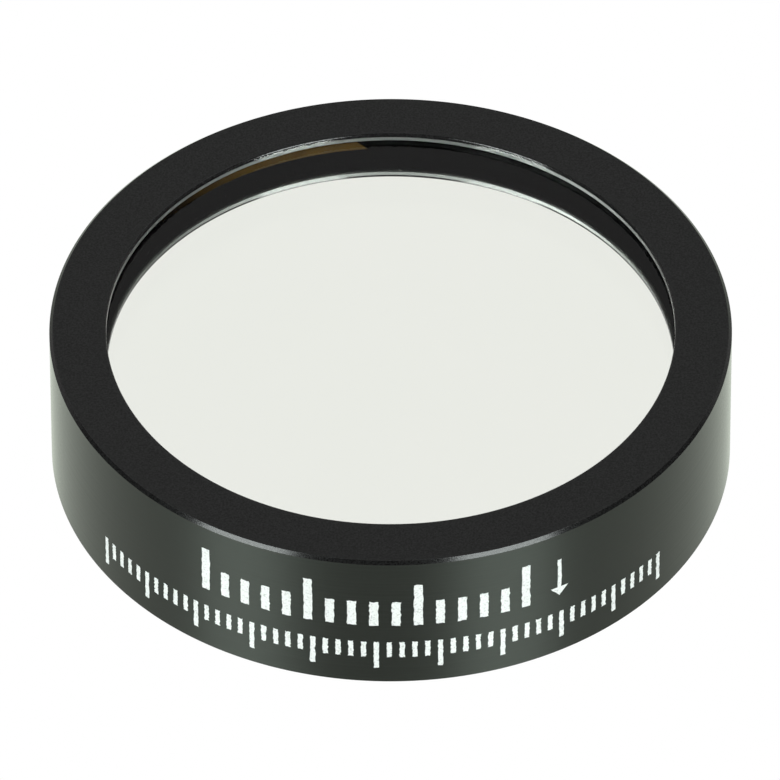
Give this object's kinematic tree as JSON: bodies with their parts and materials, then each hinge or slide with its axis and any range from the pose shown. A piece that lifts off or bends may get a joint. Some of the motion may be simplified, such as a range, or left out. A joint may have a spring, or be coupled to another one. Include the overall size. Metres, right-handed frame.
{
  "type": "optical bandpass filter",
  "caption": "Round glass interference filter laminated in a thin black anodised ring, with a mirror-like front and a direction arrow on the rim.",
  "frame": {"origin": "centre of the rear face of the ring, in the plane that the part rests on", "axes": "+Z along the optical axis, out of the mirror-like front face; -Y towards the middle of the marks on the rim; +X to the right of them"},
  "size_m": [0.0254, 0.0254, 0.0063],
  "materials": {
    "black_anodised": "black anodised, fine turned",
    "white_fill": "matt white fill",
    "clear_glass": "polished, clear",
    "mirror_film": "thin-film mirror, slightly green",
    "optical_cement": "clear, cured",
    "blocking_glass": "polished, amber",
    "edge_epoxy": "dark cured epoxy, amber where it is thin"
  },
  "bodies": {
    "root": {"housing_ring": "black_anodised", "engraving_fill": "white_fill", "cover_glass": "clear_glass", "bandpass_coating": "mirror_film", "coated_substrate": "clear_glass", "cement_layer": "optical_cement", "blocking_glass": "blocking_glass", "edge_seal": "edge_epoxy", "retaining_ring": "black_anodised"}
  },
  "joints": []
}
